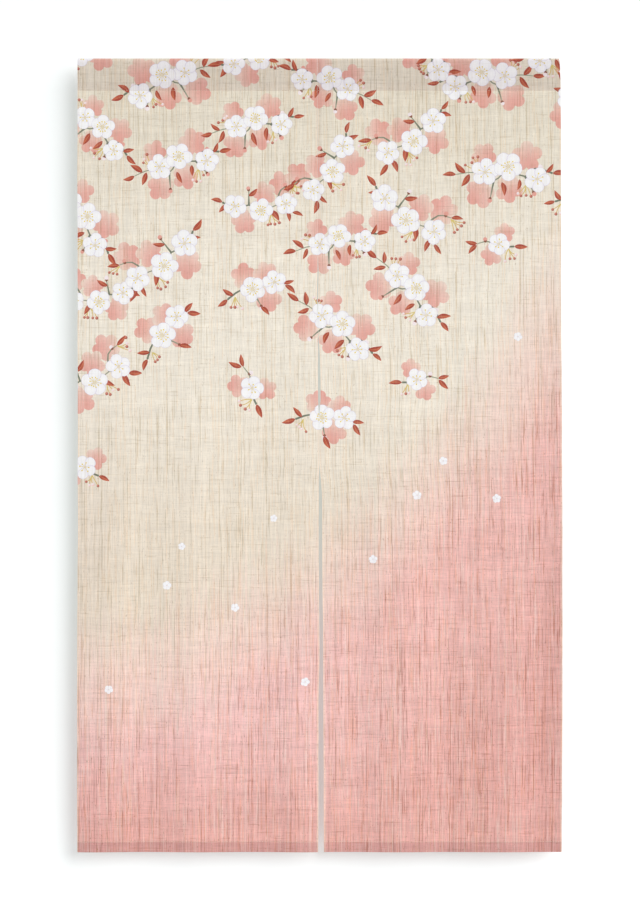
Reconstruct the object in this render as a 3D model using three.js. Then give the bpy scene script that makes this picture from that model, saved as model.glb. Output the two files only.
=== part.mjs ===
// A noren: a door curtain split up the middle, sewn from two loom widths of slubby hemp cloth.
// Millimetres. +Z is up, +X is to the right seen from the front, and the front faces -Y.
// The origin is the middle of the top edge, where the curtain hangs.

import * as THREE from 'three';

const cloth = {
  layer: 1.1, // one layer of the cloth over its slubs
  gap: 0.3, // left between pieces that touch
  drop: 1445, // top edge to the bottom of the hem
  settle: 130, // height in which the panel swings back under the sleeve
  belly: 1.6, // how far the panel hangs back at half height
};

const heading = {
  depth: 62, // top edge to the row of stitches
  turnUnder: 16, // raw edge turned in before it is sewn down
  sleeveRadius: 5, // half the free depth of the sleeve, where a bar would lie
  sleeveFoot: 5, // the layers meet this far above the bottom of the heading
  footRoom: 0.4, // free depth left at the foot of the sleeve
  arcPoints: 6,
  wallPoints: 7,
};

const hem = {
  depth: 18, // double turn at the bottom
  layers: 3,
  corner: 1.2, // height in which the fold rounds over
  roll: 0.25, // the hem is a little fuller at half its height
};

const mesh = {
  rowHeight: 42, // longest step of the panel from one row of points to the next
  panelColumns: 15,
  headingColumns: 6,
};

const colours = {
  heading: 0xd0c3af, // two layers of the undyed cloth
  panel: 0xe6cabb, // between the cream of the top and the pink of the bottom
};

// Where the cloth edges hang on the way down: the outer selvedges, the line on which the
// two panels meet, and how wide the slit between them stands open there
const hang = [
  { z: 0, left: -440.2, meet: -4.0, open: 0.3, right: 435.0 },
  { z: -8, left: -440.4, meet: -4.0, open: 0.3, right: 436.6 },
  { z: -62, left: -440.4, meet: -3.9, open: 0.3, right: 439.0 },
  { z: -200, left: -440.6, meet: -3.6, open: 0.3, right: 439.6 },
  { z: -358, left: -440.2, meet: -2.9, open: 0.3, right: 439.8 },
  { z: -385, left: -440.2, meet: -2.6, open: 2.0, right: 439.9 },
  { z: -440, left: -440.4, meet: -3.7, open: 1.7, right: 440.0 },
  { z: -468, left: -440.4, meet: -2.9, open: 0.3, right: 440.0 },
  { z: -503, left: -440.5, meet: -2.6, open: 0.3, right: 440.1 },
  { z: -530, left: -440.6, meet: -1.3, open: 2.8, right: 440.4 },
  { z: -567, left: -440.6, meet: -0.8, open: 4.6, right: 440.8 },
  { z: -622, left: -440.4, meet: -0.2, open: 4.4, right: 441.2 },
  { z: -653, left: -440.4, meet: -0.9, open: 0.3, right: 441.4 },
  { z: -680, left: -440.3, meet: -0.8, open: 0.3, right: 441.6 },
  { z: -740, left: -440.2, meet: 0.0, open: 0.3, right: 441.8 },
  { z: -770, left: -440.2, meet: 0.7, open: 4.2, right: 442.0 },
  { z: -804, left: -440.2, meet: 1.8, open: 5.7, right: 442.2 },
  { z: -913, left: -440.4, meet: 1.8, open: 6.2, right: 442.4 },
  { z: -1077, left: -441.0, meet: 3.4, open: 6.0, right: 442.4 },
  { z: -1168, left: -441.4, meet: 2.7, open: 8.4, right: 442.3 },
  { z: -1350, left: -441.2, meet: 2.8, open: 9.1, right: 441.8 },
  { z: -1445, left: -440.6, meet: 2.8, open: 10.0, right: 440.6 },
];

// Soft upright folds that open towards the hem. "out" is how far the cloth stands off its
// plane at the hem, and a minus sign is towards the front
const folds = [
  { x: -405, width: 46, top: -420, out: -3.4 },
  { x: -318, width: 58, top: -120, out: 3.0 },
  { x: -226, width: 52, top: -300, out: -2.8 },
  { x: -128, width: 60, top: -180, out: 2.4 },
  { x: -34, width: 42, top: -400, out: -3.2 },
  { x: 48, width: 50, top: -380, out: 3.6 },
  { x: 142, width: 62, top: -150, out: -2.6 },
  { x: 236, width: 54, top: -260, out: 2.8 },
  { x: 322, width: 56, top: -140, out: -3.0 },
  { x: 412, width: 44, top: -360, out: 3.2 },
];

function clamp01(t) {
  return Math.min(1, Math.max(0, t));
}

function ease(t) {
  const u = clamp01(t);
  return u * u * (3 - 2 * u);
}

// One column of the hang table at height z
function edgeAt(column, z) {
  const last = hang.length - 1;
  for (let i = 0; i < last; i += 1) {
    const upper = hang[i];
    const lower = hang[i + 1];
    if (z >= lower.z || i === last - 1) {
      const t = clamp01((upper.z - z) / (upper.z - lower.z));
      return THREE.MathUtils.lerp(upper[column], lower[column], t);
    }
  }
  return hang[last][column];
}

// How far the folds carry the cloth off its plane
function foldDepth(x, z) {
  let depth = 0;
  for (const fold of folds) {
    const across = (x - fold.x) / fold.width;
    const down = ease((fold.top - z) / (cloth.drop + fold.top));
    depth += fold.out * Math.exp(-across * across) * down;
  }
  return depth;
}

// The side edges of each half at height z
const halves = {
  left: {
    from: (z) => edgeAt('left', z),
    to: (z) => edgeAt('meet', z) - edgeAt('open', z) / 2,
  },
  right: {
    from: (z) => edgeAt('meet', z) + edgeAt('open', z) / 2,
    to: (z) => edgeAt('right', z),
  },
};

// Sweeps an upright section (depth, height) from one side edge of a half to the other,
// following both edges, with the folds laid over it
function hangCloth(section, half, columns, folded) {
  const geometry = new THREE.ExtrudeGeometry(section, {
    depth: 1,
    steps: columns,
    bevelEnabled: false,
  });
  const points = geometry.attributes.position;
  for (let i = 0; i < points.count; i += 1) {
    const y = points.getX(i);
    const z = points.getY(i);
    const x = THREE.MathUtils.lerp(half.from(z), half.to(z), points.getZ(i));
    points.setXYZ(i, x, folded ? y + foldDepth(x, z) : y, z);
  }
  geometry.computeVertexNormals();
  return geometry;
}

// Half the free depth of the sleeve at height z, below the round where a bar lies
function sleeveHalfDepth(z) {
  const start = -cloth.layer - heading.sleeveRadius;
  const foot = heading.sleeveFoot - heading.depth;
  const drawnIn = ease((start - z) / (start - foot));
  return THREE.MathUtils.lerp(heading.sleeveRadius, heading.footRoom / 2, drawnIn);
}

// One side of the sleeve from its crown to its foot, this far outside the free space.
// side is -1 for the front wall and 1 for the back wall
function sleeveWall(side, outside) {
  const radius = heading.sleeveRadius;
  const centre = -cloth.layer - radius;
  const foot = heading.sleeveFoot - heading.depth;
  const wall = [];
  for (let i = 1; i <= heading.arcPoints; i += 1) {
    const angle = (i / heading.arcPoints) * (Math.PI / 2);
    const reach = radius + outside;
    wall.push(new THREE.Vector2(side * reach * Math.sin(angle), centre + reach * Math.cos(angle)));
  }
  for (let i = 1; i <= heading.wallPoints; i += 1) {
    const z = THREE.MathUtils.lerp(centre, foot, i / heading.wallPoints);
    wall.push(new THREE.Vector2(side * (sleeveHalfDepth(z) + outside), z));
  }
  return wall;
}

// The cloth turned over to the back and sewn down, with the sleeve as a hole in its section.
// The raw edge is turned in first, which makes the back wall double at its foot
function headingSection() {
  const turnTop = heading.turnUnder - heading.depth;
  const front = sleeveWall(-1, cloth.layer);
  const back = sleeveWall(1, cloth.layer);
  for (const point of back) {
    point.x += cloth.layer * ease((turnTop - point.y) / cloth.layer + 1);
  }
  const frontFoot = new THREE.Vector2(-cloth.layer, -heading.depth);
  const backFoot = new THREE.Vector2(cloth.layer * 2, -heading.depth);
  const shape = new THREE.Shape([
    new THREE.Vector2(0, 0),
    ...front,
    frontFoot,
    backFoot,
    ...back.reverse(),
  ]);
  const hole = new THREE.Path([
    new THREE.Vector2(0, -cloth.layer),
    ...sleeveWall(-1, 0),
    ...sleeveWall(1, 0).reverse(),
  ]);
  shape.holes.push(hole);
  return shape;
}

// Heights of the rows of points down a panel, with a row at each line of the hang table
function panelRows(top, bottom) {
  const stops = [top, ...hang.map((row) => row.z).filter((z) => z < top && z > bottom), bottom];
  const rows = [top];
  for (let i = 1; i < stops.length; i += 1) {
    const span = stops[i - 1] - stops[i];
    const steps = Math.ceil(span / mesh.rowHeight);
    for (let k = 1; k <= steps; k += 1) {
      rows.push(stops[i - 1] - (span * k) / steps);
    }
  }
  return rows;
}

// How far behind the top edge the middle of the cloth hangs at height z
function hangDepth(z) {
  const below = -heading.depth - z;
  const underSleeve = -(cloth.layer / 2) * Math.exp(-below / cloth.settle);
  return underSleeve + cloth.belly * Math.sin((Math.PI * below) / (cloth.drop - heading.depth));
}

// One layer of cloth from the stitches down, and the double turn of the hem behind it
function panelSection() {
  const top = -heading.depth - cloth.gap;
  const half = cloth.layer / 2;
  const hemTop = hem.depth - cloth.drop;
  const hemBack = half + cloth.layer * (hem.layers - 1);
  const bottomRow = hem.corner - cloth.drop;
  const front = panelRows(top, bottomRow).map((z) => new THREE.Vector2(hangDepth(z) - half, z));
  const back = panelRows(top, hemTop).map((z) => new THREE.Vector2(hangDepth(z) + half, z));
  const atHem = hangDepth(hemTop);
  return new THREE.Shape([
    ...front,
    new THREE.Vector2(atHem, -cloth.drop),
    new THREE.Vector2(atHem + hemBack - half, -cloth.drop),
    new THREE.Vector2(atHem + hemBack, bottomRow),
    new THREE.Vector2(atHem + hemBack + hem.roll, hemTop - hem.depth / 2),
    new THREE.Vector2(atHem + hemBack, hemTop - hem.corner),
    ...back.reverse(),
  ]);
}

function clothMaterial(colour) {
  return new THREE.MeshStandardMaterial({ color: colour, roughness: 0.92, metalness: 0 });
}

const noren = new THREE.Group();
for (const [side, half] of Object.entries(halves)) {
  const headingCloth = hangCloth(headingSection(), half, mesh.headingColumns, false);
  const headingPiece = new THREE.Mesh(headingCloth, clothMaterial(colours.heading));
  headingPiece.name = `heading_${side}`;
  noren.add(headingPiece);

  const panelCloth = hangCloth(panelSection(), half, mesh.panelColumns, true);
  const panelPiece = new THREE.Mesh(panelCloth, clothMaterial(colours.panel));
  panelPiece.name = `panel_${side}`;
  noren.add(panelPiece);
}

export default noren;
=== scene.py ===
import math
import random

import bpy
import numpy as np
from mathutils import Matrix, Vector, noise
from mathutils.geometry import delaunay_2d_cdt


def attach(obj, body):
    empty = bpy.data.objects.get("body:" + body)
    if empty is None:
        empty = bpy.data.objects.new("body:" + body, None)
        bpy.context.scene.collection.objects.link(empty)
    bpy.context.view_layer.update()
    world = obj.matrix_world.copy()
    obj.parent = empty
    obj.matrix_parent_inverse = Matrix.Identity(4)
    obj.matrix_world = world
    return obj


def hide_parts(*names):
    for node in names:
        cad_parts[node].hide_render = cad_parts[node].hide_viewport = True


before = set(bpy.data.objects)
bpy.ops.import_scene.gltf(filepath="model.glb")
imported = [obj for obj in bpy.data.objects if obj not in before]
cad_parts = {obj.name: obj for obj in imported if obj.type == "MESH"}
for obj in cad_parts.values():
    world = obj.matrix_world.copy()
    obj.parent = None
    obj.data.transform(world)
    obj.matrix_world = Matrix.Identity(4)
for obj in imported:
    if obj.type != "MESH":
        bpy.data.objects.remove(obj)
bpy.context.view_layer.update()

# A noren of two loom widths of slubby hemp. Sizes are in millimetres and turned to metres
# where the meshes are made. A place on the flat cloth is (across, down): across is 0 at the
# middle seam and grows to the right, down is 0 at the top fold, grows down the front to the
# hem, and is negative over the fold and down the back of the heading
mm = 0.001

# What a user would change about the cloth
cloth = {
    "loomWidth": 440.0,    # one width, selvedge to selvedge
    "drop": 1445.0,        # top edge to hem
    "thickness": 0.7,      # one layer as it looks, slubs included
    "layerStep": 0.9,      # from one pressed layer to the next
    "cadLayer": 1.1,       # layer of the solids that this cloth stands for
    "settle": 130.0,       # height in which the panel swings back under the sleeve
    "belly": 1.6,          # how far it hangs back at half height
    "slowWaver": (0.605, 90.0),   # how far the selvedges wander, and over what length
    "quickWaver": (0.33, 17.0),   # the same for the pull of single weft threads
}

# Spacing of the points that the meshes are made from
grid = {
    "cell": (11.0, 8.0),   # across and down, where nothing is painted
    "jitter": 0.2,         # how far a point may stray, in rows
    "closest": 0.2,        # from row to row where the cloth turns
    "closeRows": (6.0, 4.0),      # how far below the heading and above the hem rows stay close
    "straightRows": (8.0, 8.0),   # how far they stay straight there
    "panel": 4.0, "pressed": 2.0, "sleeve": 1.5,      # steps down the path of the cloth
    "foldSteps": 6, "hemSteps": 8, "topSteps": 18,    # steps round its turns
    "table": 0.2,          # between the places that are worked out beforehand
    "merge": 0.001,        # points closer than this are one
    "seed": 5,
}

heading = {
    "depth": 62.0,         # top fold to the row of stitches
    "turnUnder": 15.5,     # raw edge turned in behind
    "sleeveRadius": 5.0,
    "sleeveFoot": 5.0,
    "stitchRise": 2.2,     # row of stitches above the foot of the heading
}

hem = {
    "depth": 18.0,         # double turn at the bottom
    "tuck": 15.5,          # raw edge inside it
    "stitchDrop": 1.6,     # row of stitches below its folded edge
}

seam = {
    "allowance": 8.0,      # both edges of the middle seam, pressed behind the right panel
    "end": 358.0,          # head of the slit
    "looseFrom": 350.0,    # below this the edges of the slit begin to wander,
    "looseOver": 60.0,     # and this much lower they do so fully
    "rows": 36,            # steps down the pressed edges
    "ends": (2.0, 3.0),    # they end this far below the heading and above the slit
    "waver": (0.5, 40.0),  # how far they wander, and over what length
    "clear": 0.05,         # from the back of the right panel
    "cutFrom": 40.0,       # their threads are those from this much further down the cloth
}

stitch = {
    "length": 3.1, "gap": 1.5,
    "thread": 0.26,        # radius
    "sides": 4, "steps": 4,
    "bow": 1.7,            # how high a stitch bows, in radii
    "stray": 0.22,         # how far a stitch may lie off its line
    "first": (0.5, 2.0),   # from the selvedge
    "lengthVary": (0.92, 1.08), "pitchVary": (0.97, 1.03),
    "pale": "#f4ead9", "deep": "#e9dcc8",   # along the thread
    "shade": "#cdbda3",    # painted shade between its plies
}

# How the edges hang: the outer selvedges, the line where the two widths meet, and how wide
# the slit stands open, each at a height down from the top edge
hang = [
    dict(z=0, left=-440.2, meet=-4.0, gap=0.3, right=435.0),
    dict(z=-8, left=-440.4, meet=-4.0, gap=0.3, right=436.6),
    dict(z=-62, left=-440.4, meet=-3.9, gap=0.3, right=439.0),
    dict(z=-200, left=-440.6, meet=-3.6, gap=0.3, right=439.6),
    dict(z=-358, left=-440.2, meet=-2.9, gap=0.3, right=439.8),
    dict(z=-385, left=-440.2, meet=-2.6, gap=2.0, right=439.9),
    dict(z=-440, left=-440.4, meet=-3.7, gap=1.7, right=440.0),
    dict(z=-468, left=-440.4, meet=-2.9, gap=0.3, right=440.0),
    dict(z=-503, left=-440.5, meet=-2.6, gap=0.3, right=440.1),
    dict(z=-530, left=-440.6, meet=-1.3, gap=2.8, right=440.4),
    dict(z=-567, left=-440.6, meet=-0.8, gap=4.6, right=440.8),
    dict(z=-622, left=-440.4, meet=-0.2, gap=4.4, right=441.2),
    dict(z=-653, left=-440.4, meet=-0.9, gap=0.3, right=441.4),
    dict(z=-680, left=-440.3, meet=-0.8, gap=0.3, right=441.6),
    dict(z=-740, left=-440.2, meet=0.0, gap=0.3, right=441.8),
    dict(z=-770, left=-440.2, meet=0.7, gap=4.2, right=442.0),
    dict(z=-804, left=-440.2, meet=1.8, gap=5.7, right=442.2),
    dict(z=-913, left=-440.4, meet=1.8, gap=6.2, right=442.4),
    dict(z=-1077, left=-441.0, meet=3.4, gap=6.0, right=442.4),
    dict(z=-1168, left=-441.4, meet=2.7, gap=8.4, right=442.3),
    dict(z=-1350, left=-441.2, meet=2.8, gap=9.1, right=441.8),
    dict(z=-1445, left=-440.6, meet=2.8, gap=10.0, right=440.6),
]

# Soft upright folds that open towards the hem; a minus sign stands out to the front
folds = [
    dict(x=-405, width=46, top=-420, out=-3.4),
    dict(x=-318, width=58, top=-120, out=3.0),
    dict(x=-226, width=52, top=-300, out=-2.8),
    dict(x=-128, width=60, top=-180, out=2.4),
    dict(x=-34, width=42, top=-400, out=-3.2),
    dict(x=48, width=50, top=-380, out=3.6),
    dict(x=142, width=62, top=-150, out=-2.6),
    dict(x=236, width=54, top=-260, out=2.8),
    dict(x=322, width=56, top=-140, out=-3.0),
    dict(x=412, width=44, top=-360, out=3.2),
]


def ease(t):
    t = min(1.0, max(0.0, t))
    return t * t * (3 - 2 * t)


def mix(a, b, t):
    return a + (b - a) * t


def edgeAt(column, z):
    for upper, lower in zip(hang, hang[1:]):
        if z >= lower["z"]:
            t = min(1.0, (upper["z"] - z) / (upper["z"] - lower["z"]))
            return mix(upper[column], lower[column], max(0.0, t))
    return hang[-1][column]


def foldDepth(x, z):
    depth = 0.0
    for fold in folds:
        across = (x - fold["x"]) / fold["width"]
        down = ease((fold["top"] - z) / (cloth["drop"] + fold["top"]))
        depth += fold["out"] * math.exp(-across * across) * down
    return depth


def edgeWaver(z, which):
    # a selvedge is never quite straight
    (slow, slowLength), (quick, quickLength) = cloth["slowWaver"], cloth["quickWaver"]
    return slow * noise.noise(Vector((which * 7.3, z / slowLength, 1.0))) \
        + quick * noise.noise(Vector((which * 3.1, z / quickLength, 4.0)))


def sideEdges(half, z):
    meet, gap = edgeAt("meet", z), edgeAt("gap", z)
    free = ease((-z - seam["looseFrom"]) / seam["looseOver"])
    if half == "left":
        return edgeAt("left", z) + edgeWaver(z, 1), meet - gap / 2 + free * min(0, edgeWaver(z, 2))
    return meet + gap / 2 + free * max(0, edgeWaver(z, 3)), edgeAt("right", z) + edgeWaver(z, 4)


def wallDepth(z):
    # how far the middle of the front wall of the sleeve stands from the plane of the bar
    widest = heading["sleeveRadius"] + cloth["cadLayer"] - cloth["thickness"] / 2
    start = -cloth["cadLayer"] - heading["sleeveRadius"]
    foot = heading["sleeveFoot"] - heading["depth"]
    return mix(widest, cloth["layerStep"] / 2, ease((start - z) / (start - foot)))


def hangDepth(z):
    below = -heading["depth"] - z
    under = -cloth["layerStep"] / 2 * math.exp(-below / cloth["settle"])
    return under + cloth["belly"] * math.sin(math.pi * below / (cloth["drop"] - heading["depth"]))


def arc(centre, radius, start, end, count):
    # points (y, z) round a fold, angles in degrees from +Y towards +Z
    points = []
    for i in range(count + 1):
        a = math.radians(mix(start, end, i / count))
        points.append((centre[0] + radius * math.cos(a), centre[1] + radius * math.sin(a)))
    return points


def clothPath():
    # the cloth from its raw edge behind the heading, over the top and down to the raw edge
    # inside the hem, as points (y, z) of its middle layer
    step, depth = cloth["layerStep"], heading["depth"]
    foldFoot = step / 2 - depth + cloth["thickness"]
    turnTop = heading["turnUnder"] - depth
    path = []
    z = turnTop
    while z > foldFoot:
        path.append((wallDepth(z), z))
        z -= grid["pressed"]
    foot = wallDepth(foldFoot)
    path += arc((foot + step / 2, foldFoot), step / 2, 180, 360, grid["foldSteps"])
    z = foldFoot + 1.0
    crown = -cloth["cadLayer"] - heading["sleeveRadius"]
    while z < crown:
        path.append((wallDepth(z) + step * ease((turnTop + 3 - z) / 6), z))
        z += grid["sleeve"]
    path += arc((0, crown), wallDepth(crown), 0, 180, grid["topSteps"])
    topIndex = len(path) - 1 - grid["topSteps"] // 2
    z = crown - grid["pressed"]
    while z > -depth:
        path.append((-wallDepth(z), z))
        z -= grid["pressed"]
    bottom = -cloth["drop"] + cloth["thickness"] / 2 + step
    z = -depth
    while z > bottom:
        path.append((hangDepth(z), z))
        z -= grid["panel"]
    y = hangDepth(bottom)
    path += arc((y + step, bottom), step, 180, 360, grid["hemSteps"])
    hemTop = hem["depth"] - cloth["drop"] - step / 2
    z = bottom + grid["pressed"]
    while z < hemTop - 1:
        path.append((y + 2 * step, z))
        z += grid["pressed"]
    path += arc((y + step * 1.5, hemTop), step / 2, 0, 180, grid["foldSteps"])
    z = hemTop - grid["pressed"]
    while z > hemTop - hem["tuck"]:
        path.append((y + step, z))
        z -= grid["pressed"]
    return path, topIndex


pathPoints, pathTop = clothPath()
pathDown = [0.0]
for a, b in zip(pathPoints, pathPoints[1:]):
    pathDown.append(pathDown[-1] + math.dist(a, b))
pathDown = [d - pathDown[pathTop] for d in pathDown]
clothStart, clothEnd = pathDown[0], pathDown[-1]
hemTurn = next(d for d, p in zip(pathDown, pathPoints) if p[1] < -cloth["drop"] + 1.0)


def alongPath(down):
    # place (y, z) and direction of the cloth at a distance down it
    low, high = 0, len(pathDown) - 1
    while high - low > 1:
        half = (low + high) // 2
        if pathDown[half] <= down:
            low = half
        else:
            high = half
    span = pathDown[high] - pathDown[low]
    t = min(1.0, max(0.0, (down - pathDown[low]) / span))
    a, b = pathPoints[low], pathPoints[high]
    return mix(a[0], b[0], t), mix(a[1], b[1], t), (b[0] - a[0]) / span, (b[1] - a[1]) / span


def rowTable(half):
    # the path and the side edges at close steps down the cloth
    steps = int((clothEnd - clothStart) / grid["table"]) + 2
    rows = []
    for i in range(steps):
        y, z, ty, tz = alongPath(clothStart + i * grid["table"])
        rows.append((y, z, ty, tz, *sideEdges(half, z)))
    return rows


rowTables = {half: rowTable(half) for half in ("left", "right")}


def hung(half, across, down, off):
    # the place in the room, in metres, of a point of the flat cloth; off is along its face
    rows = rowTables[half]
    place = (down - clothStart) / grid["table"]
    index = min(len(rows) - 2, max(0, int(place)))
    t = place - index
    y, z, ty, tz, left, right = (mix(a, b, t) for a, b in zip(rows[index], rows[index + 1]))
    x = mix(left, right, across / cloth["loomWidth"] + (1 if half == "left" else 0))
    y += foldDepth(x, z)
    return Vector((x, y + off * tz, z - off * ty)) * mm


print("cloth path", round(clothStart, 1), "to", round(clothEnd, 1), "mm")


def hexColour(text, alpha=1.0):
    # sRGB hex to the linear values that shaders and colour attributes use
    values = [int(text[i:i + 2], 16) / 255 for i in (1, 3, 5)]
    return tuple(v / 12.92 if v <= 0.04045 else ((v + 0.055) / 1.055) ** 2.4 for v in values) + (alpha,)


# The painted branches: round-petalled blossoms, buds, leaves and berries in flat pigment
paint = {
    "white": "#ffffff",
    "whiteShade": "#efedf9",
    "petalEdge": "#dfd8ea",
    "centre": "#e9dcc0",
    "stamen": "#e3cc5a",
    "anther": "#ecd35c",
    "coral": "#e8968c",
    "coralPale": "#f1c4b8",
    "leaf": "#ad4330",
    "leafPale": "#cf6c4c",
    "leafVein": "#dc9468",
    "stem": "#dcc873",
    "stemWarm": "#d6a05c",
    "berry": "#96422f",
    "berryPale": "#d98876",
    "cup": "#84503a",
    "twig": "#727a68",
    "twigPale": "#a5a991",
    "bud": "#fbf2f6",
    "budCoral": "#e9a194",
}

flower = {
    "petalWidth": 0.465, "ghostWidth": 0.42, "centre": 0.062,   # shares of a blossom's size
    "stamenFrom": 0.045, "stamenReach": (0.15, 0.235),
    "inset": (0.945, 0.93),   # pigment inside the shaded edge, along and across a petal
    "stamenHalf": 0.36, "anther": 1.5,                          # millimetres
    "openStamens": 12, "plainStamens": 6,
}

# Brush marks in millimetres
brush = {
    "twig": (3.6, 1.7), "berryStem": (1.9, 1.2),   # widths at the start and the end
    "veinHalf": 0.28,
    "leafWidth": (0.34, 0.4),                      # share of the leaf's length
    "bud": (3.6, 4.6), "berry": (2.5, 3.2),        # radii
}

shapes = []  # painted shapes from the lowest to the top one


def addShape(points, inner, outer, anchor, reach, cover=(1.0, 1.0)):
    turn = sum(a[0] * b[1] - b[0] * a[1] for a, b in zip(points, points[1:] + points[:1]))
    if turn < 0:
        points = points[::-1]  # the cutting reads outlines anticlockwise
    shapes.append(dict(points=points, inner=hexColour(paint[inner])[:3],
                       outer=hexColour(paint[outer])[:3], anchor=anchor, reach=reach, cover=cover))


def turned(points, at, angle, size=1.0, flip=1):
    c, s = math.cos(angle), math.sin(angle)
    return [(at[0] + size * (flip * px * c - py * s), at[1] + size * (flip * px * s + py * c))
            for px, py in points]


def petal(length, width, rng, count=14):
    # a round petal with a narrow foot, outwards along +x from the middle of its blossom
    rim = []
    for k in range(count):
        b = 2 * math.pi * k / count
        grow = 1 + rng.uniform(-0.02, 0.02)
        rim.append((length * 0.56 + length * 0.46 * math.cos(b) * grow,
                    width / 2 * math.sin(b) * (1 + 0.1 * math.cos(b)) * grow))
    foot = [(length * 0.02, width * 0.1), (length * 0.02, -width * 0.1)]
    return rim[:count // 2] + foot + rim[count // 2 + 1:]


def disc(at, radius, count=8):
    return [(at[0] + radius * math.cos(2 * math.pi * k / count),
             at[1] + radius * math.sin(2 * math.pi * k / count)) for k in range(count)]


def ghostBlossom(at, size, turn, rng):
    # thin dye under the pigment, brushed out to nothing on one side
    faint = turned([(size * 0.42, 0)], at, turn + rng.uniform(-0.6, 0.6))[0]
    for i in range(5):
        a = turn + 2 * math.pi * i / 5 + rng.uniform(-0.07, 0.07)
        outline = petal(size / 2 * rng.uniform(0.95, 1.05), size * flower["ghostWidth"], rng, 12)
        addShape(turned(outline, at, a), "coral", "coralPale", faint, size, (0.82, 0.3))


def blossom(at, size, turn, rng, stamens):
    # opaque pigment, petal over petal, each with a thin shaded edge
    for i in range(5):
        a = turn + 2 * math.pi * i / 5 + rng.uniform(-0.07, 0.07)
        length = size / 2 * rng.uniform(0.94, 1.04)
        outline = petal(length, size * flower["petalWidth"] * rng.uniform(0.95, 1.05), rng)
        middle, (along, over) = length * 0.6, flower["inset"]
        inset = [(middle + (x - middle) * along, y * over) for x, y in outline]
        tip = turned([(length * 0.68, 0)], at, a)[0]
        addShape(turned(outline, at, a), "petalEdge", "petalEdge", at, size)
        addShape(turned(inset, at, a), "white", "whiteShade", tip, size * 0.34)
    addShape(disc(at, size * flower["centre"], 9), "centre", "whiteShade", at, size * 0.09)
    root, half = size * flower["stamenFrom"], flower["stamenHalf"]
    for i in range(stamens):
        a = turn + 2 * math.pi * (i + rng.uniform(-0.25, 0.25)) / stamens
        reach = size * rng.uniform(*flower["stamenReach"])
        filament = [(root, -half), (reach, -half * 0.8), (reach, half * 0.8), (root, half)]
        addShape(turned(filament, at, a), "stamen", "anther", at, reach)
        anther = disc((reach, 0), flower["anther"], 5)
        addShape(turned(anther, at, a), "anther", "stamen", at, size)


def leaf(at, length, turn, rng):
    # a pointed leaf in two tones, split along its vein
    width = length * rng.uniform(*brush["leafWidth"])
    bend = rng.uniform(-0.1, 0.1) * length
    upper, lower, vein = [], [], []
    for k in range(1, 8):
        t = k / 8
        half = width / 2 * math.sin(math.pi * t ** 0.8) ** 0.9
        sway = bend * math.sin(math.pi * t)
        upper.append((length * t, sway + half))
        lower.append((length * t, sway - half))
        vein.append((length * t, sway))
    tip = turned([(length, 0)], at, turn)[0]
    outline = [(0, 0)] + lower + [(length, 0)] + upper[::-1]
    addShape(turned(outline, at, turn), "leafPale", "leaf", tip, length * 0.8)
    shaded = [(0, 0)] + lower + [(length, 0)] + vein[::-1]
    addShape(turned(shaded, at, turn), "leaf", "leaf", tip, length)
    thin = brush["veinHalf"]
    line = [(x, y - thin) for x, y in vein[:-1]] + [(x, y + thin) for x, y in vein[-2::-1]]
    addShape(turned(line, at, turn), "leafVein", "leafPale", at, length)


def stroke(points, start, end, inner, outer):
    # a brush line through a few points, thinning from its start to its end
    smooth = []
    padded = [points[0]] + points + [points[-1]]
    for p0, p1, p2, p3 in zip(padded, padded[1:], padded[2:], padded[3:]):
        for k in range(3):
            t = k / 3
            smooth.append(tuple(0.5 * (2 * p1[i] + (p2[i] - p0[i]) * t
                          + (2 * p0[i] - 5 * p1[i] + 4 * p2[i] - p3[i]) * t * t
                          + (3 * p1[i] - p0[i] - 3 * p2[i] + p3[i]) * t ** 3) for i in (0, 1)))
    smooth.append(points[-1])
    sideA, sideB = [], []
    for i, p in enumerate(smooth):
        a, b = smooth[max(0, i - 1)], smooth[min(len(smooth) - 1, i + 1)]
        dx, dy = b[0] - a[0], b[1] - a[1]
        size = math.hypot(dx, dy) or 1.0
        half = mix(start, end, i / (len(smooth) - 1)) / 2
        sideA.append((p[0] - dy / size * half, p[1] + dx / size * half))
        sideB.append((p[0] + dy / size * half, p[1] - dx / size * half))
    reach = math.dist(points[0], points[-1])
    addShape(sideA + sideB[::-1], inner, outer, points[0], reach)


def bud(at, turn, rng):
    # a round bud that sits on the twig in a small cup
    radius = rng.uniform(*brush["bud"])
    middle = turned([(radius * 1.1, 0)], at, turn)[0]
    light = turned([(radius * 1.5, -radius * 0.3)], at, turn)[0]
    inner = rng.choice(["bud", "budCoral"])
    addShape(disc(middle, radius, 10), inner, "coralPale", light, radius * 2.6)
    cup = [(-1.6, -0.8), (0.6, -2.7), (2.6, -2.6), (1.9, 0.0), (2.6, 2.6), (0.6, 2.7), (-1.6, 0.8)]
    addShape(turned(cup, at, turn), "cup", "leaf", at, 6.0)


def berrySpray(at, turn, rng, count):
    # bowed stems that fan out, a round berry at the end of each
    for i in range(count):
        fan = (i - (count - 1) / 2) * layout["berrySpread"]
        angle = turn + math.radians(fan + rng.uniform(-5, 5))
        length = rng.uniform(*layout["berryStem"])
        middle, end = turned([(length * 0.5, rng.uniform(-2.5, 2.5)), (length, 0)], at, angle)
        stroke([at, middle, end], *brush["berryStem"], "stem", "stemWarm")
        radius = rng.uniform(*brush["berry"])
        light = (end[0] - radius * 0.4, end[1] - radius * 0.5)
        inner, outer = rng.choice([("berryPale", "berry"), ("berryPale", "berry"), ("bud", "coralPale")])
        addShape(disc(end, radius, 8), inner, outer, light, radius * 1.5)


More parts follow.
